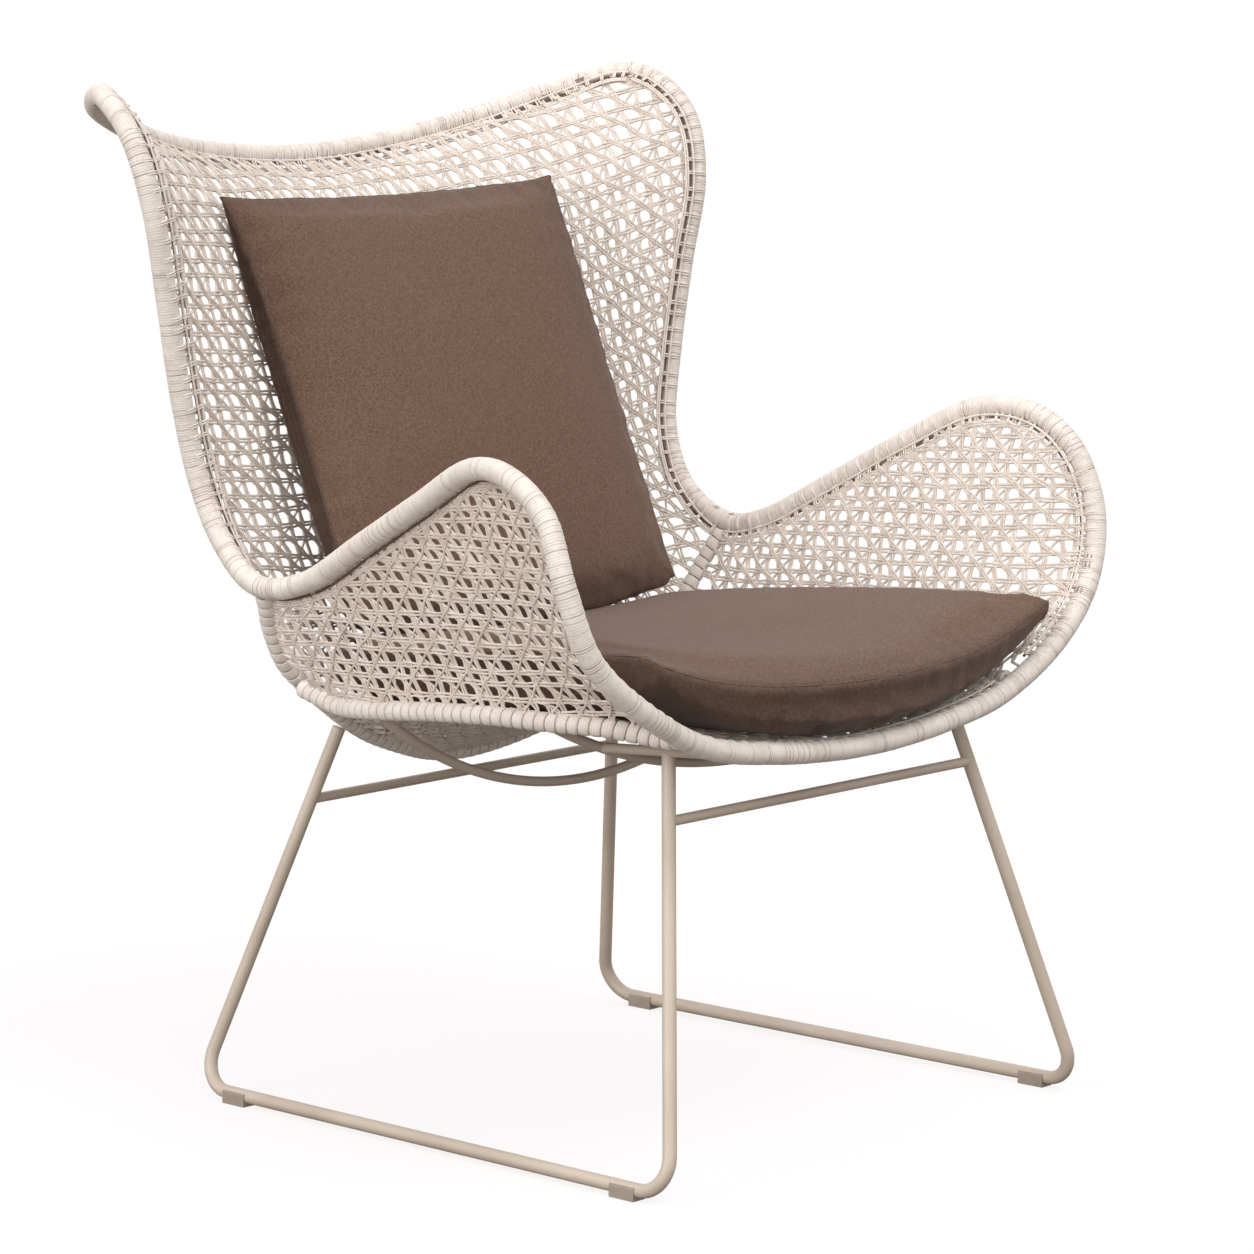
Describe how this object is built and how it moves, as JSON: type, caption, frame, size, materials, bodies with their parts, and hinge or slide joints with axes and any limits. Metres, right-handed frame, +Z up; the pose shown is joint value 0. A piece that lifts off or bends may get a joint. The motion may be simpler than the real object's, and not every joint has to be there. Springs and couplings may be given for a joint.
{
  "type": "lounge chair",
  "caption": "Wing-back lounge chair: woven shell in a wound rim on bent metal sled runners, with loose seat and back cushions.",
  "frame": {"origin": "middle of the chair's footprint on the floor", "axes": "+Z up, the chair faces -Y, the sitter's left hand is at +X"},
  "size_m": [0.818, 0.826, 1.0169],
  "materials": {
    "bare_metal": "taupe powder coat, satin",
    "hidden_metal": "tube and rods hidden inside the winding, unfinished",
    "glide_plastic": "moulded, matt",
    "winding": "off-white round wicker wound in close turns",
    "weave": "off-white round wicker in an open weave",
    "cushion_fabric": "brown woven outdoor fabric"
  },
  "bodies": {
    "frame": {"right_sled_frame": "bare_metal", "left_sled_frame": "bare_metal", "front_crossbar": "bare_metal", "rear_crossbar": "bare_metal", "right_front_glide": "glide_plastic", "left_front_glide": "glide_plastic", "right_rear_glide": "glide_plastic", "left_rear_glide": "glide_plastic", "middle_hoop": "bare_metal", "front_hoop": "bare_metal", "right_front_stub": "bare_metal", "left_front_stub": "bare_metal", "rear_hoop_rod": "hidden_metal", "rear_hoop_wrap": "winding", "right_side_rail_rod": "hidden_metal", "left_side_rail_rod": "hidden_metal", "right_side_rail_wrap": "winding", "left_side_rail_wrap": "winding", "rim_tube": "hidden_metal", "top_rim_wrap": "winding", "right_wing_wrap": "winding", "left_wing_wrap": "winding", "right_arm_wrap": "winding", "left_arm_wrap": "winding", "front_rim_wrap": "winding", "back_net": "weave", "right_arm_net": "weave", "left_arm_net": "weave", "seat_net": "weave"},
    "seat_cushion": {"seat_cushion": "cushion_fabric"},
    "back_cushion": {"back_cushion": "cushion_fabric"}
  },
  "joints": [
    {"name": "seat_cushion_lift", "type": "slide", "parent": "frame", "child": "seat_cushion", "axis": [0, -0.866, 0.5], "range_m": [0, 0.62]},
    {"name": "back_cushion_lift", "type": "slide", "parent": "seat_cushion", "child": "back_cushion", "axis": [0, -0.866, 0.5], "range_m": [0, 0.6]}
  ]
}
